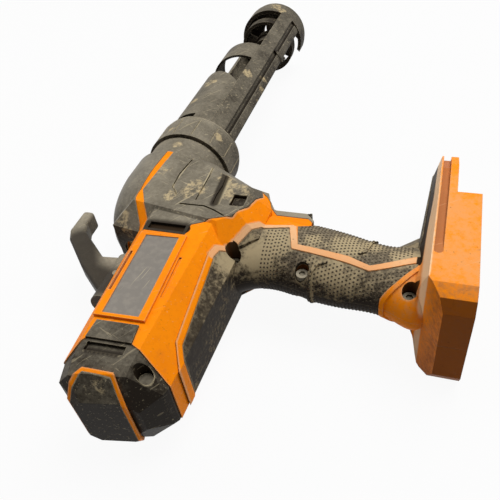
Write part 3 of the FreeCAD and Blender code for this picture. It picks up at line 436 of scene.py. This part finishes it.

# %% [markdown]
# The black mouldings have weathered to a warm grey wherever they face up, and stay near black on their sides,
# which is partly painted shade; their hollows are kept black as painted shade too. Each could have a material
# of its own, but they are one plastic that met different use. So one function makes them all, and its
# arguments say what happened to each: how grey it went, how much dust its corners hold, how pale its
# scratches are, where mud dried on it, and which recesses get painted shade.

# %% Black moulding finish
black = rgb(0.014, 0.0095, 0.0055)
weathered = rgb(0.285, 0.250, 0.185)
pale_dust = rgb(0.50, 0.42, 0.27)
mud = rgb(0.52, 0.41, 0.235)
upward = (0, 0, 1)
hollow_shade_reach = 6.0
crevice_reach = 1.4


def black_plastic(name, film, packed, scratches, gloss, stains=(), shaded=(), dusty_lines=()):
    # film is how far its upper faces have weathered, packed the share of dust in corners
    # stains are places of mud, shaded lines get painted shade in black, and dusty_lines hold a thread of dust
    skin = MappedSurface(name)
    broad = skin.noise(per_mm=0.05, detail=6.0, rough=0.6)
    fine = skin.noise(per_mm=0.5, detail=8.0, rough=0.72)
    # Faces turned away from up get less grey film: less dust, and partly painted shade
    sides_less_dust_and_shade = (1 - skin.facing(upward)) * 0.42
    mottled = broad.band(0.30, 0.70) * 0.32 + fine.band(0.30, 0.70) * 0.24
    weather = held(mottled - sides_less_dust_and_shade + (film - 0.28))
    # Hollows are kept near black: painted shade
    hollow_shade = skin.corners(hollow_shade_reach).band(0.45, 0.95)
    colour = mix(weather * (1 - hollow_shade * 0.7), black, weathered)
    long_scratch = skin.streaks(per_mm=0.8, stretch=24.0, turn_deg=(0, 0, 55)).band(0.64, 0.68)
    cross_scratch = skin.streaks(per_mm=1.0, stretch=18.0, turn_deg=(0, 0, -25)).band(0.66, 0.70)
    scratch = long_scratch.most(cross_scratch)
    rubbed = (skin.edges(reach_mm=0.8) * 1.3 + fine * 0.6).band(0.75, 1.15)
    specks = skin.noise(per_mm=0.7, detail=3.0).band(0.68, 0.75)
    colour = mix(strongest(rubbed * 0.6, scratch * scratches, specks * 0.5), colour, pale_dust)
    settled = (skin.corners(crevice_reach) * (0.7 + packed * 0.6) + fine * 0.6).band(0.78, 1.25)
    settled = (settled * packed).least(1.0) * (1 - hollow_shade)
    for line in dusty_lines:
        settled = settled.most((0.75 - skin.along(line) + fine * 0.6).band(0.55, 0.95) * 0.8)
    colour = mix(settled, colour, pale_dust)
    if stains:
        smear = skin.noise(per_mm=0.16, detail=9.0, rough=0.72, warp=0.25)
        stained = (skin.nearest(stains).least(0.55) * 0.46 + smear * 0.8 + fine * 0.5).band(0.83, 1.0)
        colour = mix(stained * 0.8, colour, mud)
        settled = settled.most(stained)
    # Painted shade: each shaded line darkens to black
    for line, reach_mm in shaded:
        colour = mix((1 - skin.along(line).band(reach_mm * 0.4, reach_mm)) * 0.9, colour, black)
    rough = (1 - gloss) + weather * 0.1 + settled * 0.2
    relief = skin.grain(per_mm=4.0, fine=fine) - scratch * 0.5
    return skin.finish(colour, rough, relief, specular=0.08, soften_mm=0.5, bump_mm=0.03)


print("black tones", black[:3], "to", weathered[:3])

# %% [markdown]
# The skin over the gear case is still fairly smooth. The side panel below it is matt and scratched: mud has
# dried on it in smears, fine grooves hold a thread of dust, and the pocket at its end and the step beside the
# lock button's window get painted shade. Noise alone would put all this anywhere, so each mark is given its
# place.

# %% Gear case and side panels
case_stains = (((-6.5, -77.6, 21.9), 9.0), ((-2.2, -82.0, 15.6), 7.0))
panel_stains = (((31.6, -55.4, 30.5), 13.0), ((20.0, -62.5, 30.5), 8.0), ((54.5, -52.8, 30.5), 15.0),
                ((47.1, -40.6, 29.0), 10.0), ((4.0, -40.0, 29.0), 9.0))
panel_step = ((45.5, -39.5), (47.5, -66.0))
panel_shade = ((pocket_line, 7.0), (panel_step, 3.2))
panel_lines = (((19.5, -27.1), (17.5, -53.8), (23.4, -61.3)), ((35.1, -33.6), (35.5, -50.0)))
wear(both("case_skin"), black_plastic("case_plastic", film=0.62, packed=0.4, scratches=0.25, gloss=0.66,
                                      stains=case_stains))
wear(both("side_panel"), black_plastic("panel_plastic", film=0.59, packed=0.8, scratches=0.5, gloss=0.48,
                                       stains=panel_stains, shaded=panel_shade, dusty_lines=panel_lines))

# %% [markdown]
# The rear cap is the darkest moulding, with a little mud, and a line of painted shade darkens its comb vent.
# The pull hook stands free of the housing and has greyed all over; its pale top is partly a painted
# highlight, and its stem carries a painted shadow of the housing. Both are the same plastic with other
# numbers, and a painted dark line at the vent is simpler than a second material there.

# %% Rear cap and pull hook
cap_stains = (((38.0, -186.0, 26.0), 9.0), ((52.0, -196.0, 14.0), 8.0), ((20.0, -203.0, 20.0), 10.0))
vent_comb = ((24.5, -169.0), (39.0, -168.2))
hook_stem = ((-36.0, -86.0), (-20.0, -110.0), (-4.0, -114.0))
# The comb vent gets a line of painted shade
wear(["rear_cap"], black_plastic("cap_plastic", film=0.29, packed=0.3, scratches=0.3, gloss=0.50,
                                 stains=cap_stains, shaded=((vent_comb, 3.2),)))
# The hook's stem gets a painted shadow of the housing, and its high film is partly a painted highlight
wear(["pull_hook"], black_plastic("hook_plastic", film=0.85, packed=0.5, scratches=0.35, gloss=0.58,
                                  shaded=((hook_stem, 16.0),)))

# %% [markdown]
# Collar and nose barrel are well greyed, and dust is packed in the grooves between them. The cradle is darker
# and carries dried sealant along its rails, and the gap beside its broad rail gets a painted shadow. The
# cradle's finish is kept by name, because its lower rail is made later and wears it too.

# %% Nose, collar and cradle
nose_stains = (((0.4, -8.5, 27.6), 6.0), ((-10.0, 7.1, 27.8), 5.0), ((20.0, 12.0, 21.0), 6.0))
cradle_stains = (((14.5, 97.4, 23.8), 8.0), ((23.9, 96.0, 10.0), 7.0), ((22.0, 108.0, 13.8), 6.0),
                 ((24.2, 82.9, 8.8), 5.0), ((10.1, 214.7, 26.1), 7.0), ((3.0, 219.0, 27.7), 9.0),
                 ((-9.4, 77.6, 25.4), 10.0), ((-13.7, 51.8, 23.2), 7.0))
rail_gap = ((21.7, 20.0), (21.7, 208.0))
wear(["collar", "nose_barrel"], black_plastic("collar_plastic", film=0.70, packed=1.5, scratches=0.35,
                                              gloss=0.50, stains=nose_stains))
# The gap beside the broad rail gets a painted shadow
cradle_finish = black_plastic("cradle_plastic", film=0.43, packed=0.4, scratches=0.4, gloss=0.48,
                              stains=cradle_stains, shaded=((rail_gap, 1.3),))
wear(["cradle"], cradle_finish)

# %% [markdown]
# The strips down the neck and the trigger shroud are the greyest. Trigger, lock button and the parts inside
# have hardly weathered. Screw heads and the hook's pin sit where dust collects and show no bright metal, so
# they get the same finish, with much dust, rather than steel.

# %% Strips, inner parts and screws
inner_nodes = ["trigger", "lock_button", "switch_body", "terminal_block", "plunger", "motor_bracket"]
wear(both("front_strip"), black_plastic("strip_plastic", film=1.1, packed=0.9, scratches=0.2, gloss=0.35))
wear(inner_nodes, black_plastic("inner_plastic", film=0.14, packed=0.4, scratches=0.2, gloss=0.45))
wear(["housing_screws", "hook_pin"],
     black_plastic("caked_screws", film=1.0, packed=0.9, scratches=0.2, gloss=0.45))
wear(["cap_screws"], black_plastic("dull_screws", film=0.45, packed=0.6, scratches=0.2, gloss=0.45))

# %% [markdown]
# The grip is a soft black skin with small raised dots in staggered rows. Dirt is packed between the dots
# where the palm and the fingers press, and hands polish their tops. Noise alone would spread the dirt evenly,
# so a handful of spots along the handle say where it gathers, and the patch beside the motor gets painted
# shade. The skin is greyer where it faces up, which is partly painted light. The dots follow as real bumps.

# %% Grip tones and places
rubber = rgb(0.016, 0.0105, 0.006)
rubber_grey = rgb(0.235, 0.192, 0.128)
palm_dirt = rgb(0.44, 0.35, 0.205)
palm_spots = (((77.4, -86.5, 10.5), 17.0), ((120.4, -91.4, 10.5), 20.0), ((85.8, -74.8, 16.6), 13.0),
              ((64.5, -95.3, 15.3), 15.0), ((123.5, -72.3, 17.0), 14.0), ((134.4, -69.0, 15.8), 9.0),
              ((154.0, -76.0, 18.0), 11.0), ((104.0, -71.5, 17.5), 6.0))
motor_patch = ((58.0, -112.0), (64.0, -165.0))
patch_half = 8.0
patch_outer = 16.0
finger_ridge = ((111.0, -85.0), (108.2, -87.1), (107.6, -91.8), (108.1, -94.4))
grip_up = (0.0, 0.3, 0.95)
print("palm spots", len(palm_spots))


# %% Grip rubber
def grip_rubber():
    skin = MappedSurface("grip_rubber")
    broad = skin.noise(per_mm=0.055, detail=5.0, rough=0.6, warp=0.5)
    fine = skin.noise(per_mm=0.4, detail=8.0, rough=0.72)
    turned_up = skin.facing(grip_up)
    # Greyer where the skin faces up: partly painted light
    weather = held(broad * 0.5 + fine.band(0.40, 0.60) * 0.4 + turned_up * 0.6 - 0.40)
    # Darker by the motor: painted shade
    weather = weather * (0.45 + skin.along(motor_patch).band(patch_half, patch_outer) * 0.55)
    colour = mix(weather, rubber, rubber_grey)
    pressed = skin.nearest(palm_spots)
    packed = (broad * 0.45 + fine * 0.55 + pressed * 0.30 + turned_up * 0.08).band(0.54, 0.76)
    ridge = (1 - skin.along(finger_ridge) * 0.6 + fine * 0.5).band(0.4, 0.9)
    rubbed = (skin.edges(reach_mm=0.8) + fine * 0.5).band(0.6, 1.1)
    colour = mix(strongest(packed * 0.8, ridge * 0.75, rubbed * 0.45), colour, palm_dirt)
    rough = 0.55 + packed * 0.3
    relief = skin.grain(per_mm=3.0, fine=fine)
    return skin.finish(colour, rough, relief, specular=0.08, soften_mm=0.4, bump_mm=0.05)


wear(both("grip_skin") + both("front_pad") + ["foot_bumper"], grip_rubber())

# %% [markdown]
# The rating plate is a dark film with a few scratches, and its grey-brown tone is partly a painted sheen. It
# could share the black finish, but a film is smoother and more evenly coloured than a moulding, so it gets
# two close tones.

# %% Film of the rating plate
# Two tones of the film, partly a painted sheen
film_and_sheen_dark = rgb(0.145, 0.127, 0.104)
film_and_sheen_pale = rgb(0.185, 0.162, 0.132)


def label_film():
    skin = Surface("label_film")
    fine = skin.noise(per_mm=0.3, detail=6.0)
    colour = mix(fine.band(0.4, 0.7), film_and_sheen_dark, film_and_sheen_pale)
    scratch = skin.streaks(per_mm=0.9, stretch=20.0, turn_deg=(0, 0, 80)).band(0.68, 0.72)
    colour = mix(scratch * 0.4, colour, pale_dust)
    return skin.finish(colour, 0.38 + fine * 0.15, scratch, soften_mm=0.15, bump_mm=0.02)


wear(["rating_plate"], label_film())

# %% [markdown]
# Rod, shafts, gears, bearings and motor are steel with fine drawn lines, the gearbox is cast alloy, and
# bushes and contact blades are bronze. A metal of one flat tone looks like paint. So one function mixes two
# tones of each in lines, and its last argument says how far the lines are drawn out.


# %% Metals
def metal(name, bright, dull, rough, stretch):
    skin = Surface(name)
    lines = skin.streaks(per_mm=1.5, stretch=stretch, turn_deg=(0, 0, 90))
    colour = mix(lines.band(0.35, 0.65), dull, bright)
    dirt = (skin.corners(reach_mm=2.0) + skin.noise(per_mm=0.4, detail=5.0) * 0.4).band(0.6, 1.1)
    colour = mix(dirt * 0.7, colour, grime_and_shade)
    rough = rough + lines * 0.15 + dirt * 0.2
    return skin.finish(colour, rough, lines, metallic=1.0, soften_mm=0.2, bump_mm=0.02)


steel_nodes = ["rack_rod", "plunger_screw", "retaining_ring", "drive_bearings", "cross_bearings",
               "bevel_pinion", "bevel_gear", "drive_pinion", "cross_shaft", "drive_gear",
               "rack_pinion", "drive_shaft", "motor"]
bronze_nodes = ["front_bush", "rear_bush", "contact_blades"]
wear(steel_nodes, metal("drawn_steel", bright=rgb(0.52, 0.51, 0.49), dull=rgb(0.36, 0.35, 0.34),
                        rough=0.30, stretch=30.0))
wear(["gearbox"], metal("cast_alloy", bright=rgb(0.56, 0.56, 0.57), dull=rgb(0.42, 0.42, 0.43),
                        rough=0.45, stretch=1.0))
wear(bronze_nodes, metal("plain_bronze", bright=rgb(0.58, 0.38, 0.15), dull=rgb(0.42, 0.26, 0.10),
                         rough=0.35, stretch=8.0))

# %% [markdown]
# The dots are modelled, because they catch light and roughen the grip's outline, which a bump in the material
# can't do. A ray is cast in towards the handle's middle line at each place of a staggered grid, and a dot is
# set where it meets the skin. Places too near the skin's edge are passed over.

# %% Places of the grip dots
dot_pitch = 2.15
dot_edge_room = 1.3
stagger_deg = 60
handle_top_x = 79.0
handle_end_x = 157.0
handle_middle_y = -67.9
handle_lean = 0.142
ray_start_r = 48.0
row_gap = dot_pitch * math.sin(math.radians(stagger_deg))
row_count = int((handle_end_x - handle_top_x) / row_gap) + 1


def handle_middle(x):
    return place(x, handle_middle_y - (x - handle_top_x) * handle_lean, 0)


def outward(angle):
    return Vector((0, math.cos(angle), math.sin(angle)))


def dot_places(mesh):
    # Gives each dot's spot on the skin, and the direction straight out of the skin there
    tree = BVHTree.FromPolygons([v.co for v in mesh.vertices], [p.vertices for p in mesh.polygons])

    def hit(x, angle):
        out = outward(angle)
        return tree.ray_cast(handle_middle(x) + out * ray_start_r * MM, -out, ray_start_r * MM)[0]

    for row in range(row_count):
        x = handle_top_x + row * row_gap
        angle = 0.0
        while angle < 2 * math.pi:
            met = hit(x, angle)
            radius = ray_start_r / 2 if met is None else (met - handle_middle(x)).length / MM
            step = dot_pitch / radius
            here = angle + step / 2 * (row % 2)
            angle += step
            edge = dot_edge_room / radius
            spot = hit(x, here)
            lower = hit(x + dot_edge_room, here)
            upper = hit(x - dot_edge_room, here)
            after = hit(x, here + edge)
            before = hit(x, here - edge)
            if any(found is None for found in (spot, lower, upper, after, before)):
                continue
            normal = (lower - upper).cross(after - before).normalized()
            if normal.dot(outward(here)) < 0:
                normal = -normal
            yield spot, normal


print("rows of dots", row_count)

# %% [markdown]
# Each dot is a low dome: a ring sunk a little into the skin, a narrower ring near the top, and a top point.
# Thousands of sphere objects would be slow, so the domes of one skin go into a single mesh with few faces.

# %% Dome of one dot
dot_r = 0.62
dot_rise = 0.30
dot_sink = 0.12
dot_sides = 6
shoulder_share = 0.72
shoulder_rise = dot_rise * 0.75
dot_points = 2 * dot_sides + 1


def add_dome(verts, faces, spot, normal):
    side = normal.orthogonal().normalized()
    first = len(verts)
    for share, rise in ((1.0, -dot_sink), (shoulder_share, shoulder_rise)):
        for k in range(dot_sides):
            turn = Quaternion(normal, 2 * math.pi * k / dot_sides)
            verts.append(spot + (turn @ side) * dot_r * share * MM + normal * rise * MM)
    verts.append(spot + normal * dot_rise * MM)
    upper = first + dot_sides
    top = upper + dot_sides
    for k in range(dot_sides):
        after = (k + 1) % dot_sides
        faces.append((first + k, first + after, upper + after, upper + k))
        faces.append((upper + k, upper + after, top))
    faces.append(tuple(first + dot_sides - 1 - k for k in range(dot_sides)))


print("points of a dot", dot_points)

# %% [markdown]
# Hands polish the tops of the dots, so they are cleaner than the skin and stand out dark from the dirt
# between them. The skin's own finish would bury them in that dirt, so they get a plainer one of the same
# rubber.


# %% Dot rubber
def dot_rubber():
    skin = Surface("dot_rubber")
    fine = skin.noise(per_mm=0.5, detail=6.0, rough=0.7)
    # Greyer where a dot faces up: partly painted light, as on the skin
    weather = held(fine * 0.6 + skin.facing(grip_up) * 0.4 - 0.3)
    colour = mix(weather, rubber, rubber_grey)
    dirt = skin.noise(per_mm=0.08, detail=5.0).band(0.58, 0.75)
    colour = mix(dirt * 0.3, colour, palm_dirt)
    return skin.finish(colour, 0.55 + fine * 0.2, specular=0.15, soften_mm=0.1)


dot_finish = dot_rubber()
print(dot_finish.name, "ready")


# %% Grip dots
def add_mesh(name, verts, faces, material):
    mesh = bpy.data.meshes.new(name)
    mesh.from_pydata(verts, [], faces)
    mesh.materials.append(material)
    return add(name, mesh)


def dots_on(node_name, material):
    verts, faces = [], []
    for spot, normal in dot_places(frame["nodes"][node_name].data):
        add_dome(verts, faces, spot, normal)
    piece = add_mesh(node_name + "_dots", verts, faces, material)
    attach(piece, "housing")
    return piece


for node_name in both("grip_skin") + both("front_pad"):
    dots = dots_on(node_name, dot_finish)
    print(dots.name, len(dots.data.vertices) // dot_points)

# %% [markdown]
# A second, lower rail runs beside the cradle's broad rail, with a narrow gap between them. It could be cut
# from a tube with a Boolean, but it is one plain strip: a short arc of the cradle's round section, drawn
# along the rod, with its outer corners cut so that they catch light. Stretching that one section gives
# cleaner faces than a cut.

# %% Lower rail of the cradle
rail_inner_r = 25.6
rail_outer_r = 27.3
rail_from_deg = 57.0
rail_to_deg = 72.0
rail_corner_deg = 1.6
rail_corner = 0.5
rail_rear_y = 26.5
rail_front_y = 209.0
rail_steps = 5


def lower_rail(name):
    corner_r = rail_outer_r - rail_corner
    inside = [rail_from_deg + (rail_to_deg - rail_from_deg) * k / rail_steps for k in range(rail_steps + 1)]
    top = [rail_from_deg + rail_corner_deg] + inside[1:-1] + [rail_to_deg - rail_corner_deg]
    section = [(rail_inner_r, a) for a in inside] + [(corner_r, rail_to_deg)]
    section += [(rail_outer_r, a) for a in reversed(top)] + [(corner_r, rail_from_deg)]
    verts = []
    for y in (rail_rear_y, rail_front_y):
        for radius, degrees in section:
            turn = math.radians(degrees)
            verts.append(place(radius * math.sin(turn), y, radius * math.cos(turn)))
    count = len(section)
    ring = range(count)
    faces = [(k, (k + 1) % count, count + (k + 1) % count, count + k) for k in ring]
    faces += [tuple(reversed(ring)), tuple(count + k for k in ring)]
    piece = add_mesh(name, verts, faces, cradle_finish)
    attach(piece, "carriage")
    return piece


print(lower_rail("lower_rail").name)

# %% [markdown]
# The floor is a pale sheet on which the tool's left side lies. More lamps could make it white, but they would
# bleach the tool too. So it glows almost white, only for rays that show it, which gives the photograph's
# clean background, while a share of plain diffuse colour keeps the tool's shadow on it.

# %% Floor
floor_half = 3.0
floor_z = cad_box[0].z
floor_grey = 0.55
floor_glow_share = 0.94


def seen_directly(wire):
    # 1 for rays that show the surroundings, straight from the camera, mirrored or through glass
    kinds = ("Camera", "Glossy", "Transmission")
    return strongest(*[wire.node("ShaderNodeLightPath", out="Is %s Ray" % kind) for kind in kinds])


sheet = Surface("pale_floor")
matte = sheet.start.node("ShaderNodeBsdfDiffuse", None, {"Color": rgb(floor_grey, floor_grey, floor_grey)})
glow = sheet.start.node("ShaderNodeEmission", None, {"Color": rgb(1, 1, 1), "Strength": 1.0})
blend = sheet.start.node("ShaderNodeMixShader", None, {
    0: seen_directly(sheet.start) * floor_glow_share, 1: matte, 2: glow})
sheet.tree.links.new(blend.socket, sheet.output.inputs["Surface"])
floor_corners = [(-floor_half, -floor_half, floor_z), (floor_half, -floor_half, floor_z),
                 (floor_half, floor_half, floor_z), (-floor_half, floor_half, floor_z)]
floor = add_mesh("floor", floor_corners, [(0, 1, 2, 3)], sheet.material)
print("floor at", round(floor_z, 4))

# %% [markdown]
# The surroundings are white where they are seen and only a dim grey where they light the tool, for the same
# reason. A picture of a studio would give richer reflections, but these dull finishes would hardly show them.

# %% Surroundings
world_grey = 0.10
world = bpy.data.worlds.new("studio")
bpy.context.scene.world = world
world.use_nodes = True
world.node_tree.nodes.clear()
sky = Wire(world.node_tree)
dim = sky.node("ShaderNodeBackground", None, {"Color": rgb(1, 1, 1), "Strength": world_grey})
white = sky.node("ShaderNodeBackground", None, {"Color": rgb(1, 1, 1), "Strength": 1.0})
around = sky.node("ShaderNodeMixShader", None, {0: seen_directly(sky), 1: dim, 2: white})
sky.node("ShaderNodeOutputWorld", None, {"Surface": around})
print("surroundings", world_grey)

# %% [markdown]
# One wide lamp hangs high above the tool, ahead of it and out beyond the foot, so that faces turned back
# towards the camera fall into shade, as they do in the photograph. A weak lamp from the other side keeps the
# black parts readable. Point lamps could stand there too, but their shadows would be hard.

# %% Lamps
lamp_size_m = 0.9
lamps = {"key_lamp": ((445.0, 312.0, 1240.0), 20.0), "fill_lamp": ((-700.0, 100.0, 600.0), 4.0)}
for lamp_name, (spot, watts) in lamps.items():
    light = bpy.data.lights.new(lamp_name, "AREA")
    light.size = lamp_size_m
    light.energy = watts
    aim(add(lamp_name, light), spot)
    print(lamp_name, watts)
